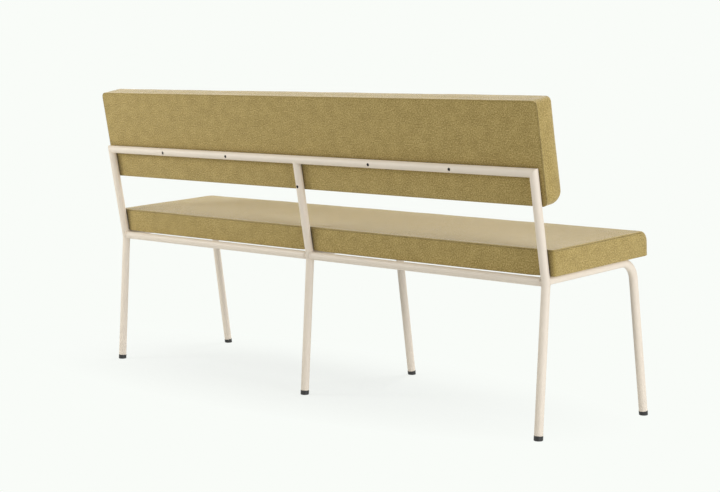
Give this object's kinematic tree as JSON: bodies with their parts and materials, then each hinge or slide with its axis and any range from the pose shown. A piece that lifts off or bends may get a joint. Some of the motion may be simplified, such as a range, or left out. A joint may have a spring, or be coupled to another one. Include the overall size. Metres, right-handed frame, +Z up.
{
  "type": "upholstered bench with backrest",
  "caption": "Long upholstered bench with a leaning padded back, on a welded round tube frame with splayed legs, bent front corners and plug-in glides.",
  "frame": {"origin": "floor level, in the middle of the bench's length and of its overall depth", "axes": "+Z up, X along the bench, the front of the bench faces -Y and the back is at +Y; left is -X and right is +X as seen from the front"},
  "size_m": [1.676, 0.4854, 0.8196],
  "materials": {
    "frame_paint": "cream powder coat, fine texture, satin",
    "cover_fabric": "felted woven upholstery wool in olive, fine mottled weave",
    "glide_plastic": "black moulded plastic",
    "foam": "cut polyurethane foam",
    "plywood": "raw birch plywood",
    "dust_cloth": "black spunbonded cloth",
    "screw_steel": "black oxide",
    "insert_steel": "zinc plated"
  },
  "bodies": {
    "root": {"left_rear_post": "frame_paint", "middle_rear_post": "frame_paint", "right_rear_post": "frame_paint", "left_front_leg": "frame_paint", "middle_front_leg": "frame_paint", "right_front_leg": "frame_paint", "left_rear_rail": "frame_paint", "right_rear_rail": "frame_paint", "top_rail": "frame_paint", "left_front_glide": "glide_plastic", "left_rear_glide": "glide_plastic", "middle_front_glide": "glide_plastic", "middle_rear_glide": "glide_plastic", "right_front_glide": "glide_plastic", "right_rear_glide": "glide_plastic", "seat_cover": "cover_fabric", "seat_foam": "foam", "seat_board": "plywood", "seat_dust_cover": "dust_cloth", "seat_screws": "screw_steel", "seat_inserts": "insert_steel", "back_cover": "cover_fabric", "back_rear_cover": "cover_fabric", "back_foam": "foam", "back_panel": "plywood", "back_screws": "screw_steel", "back_inserts": "insert_steel"}
  },
  "joints": []
}
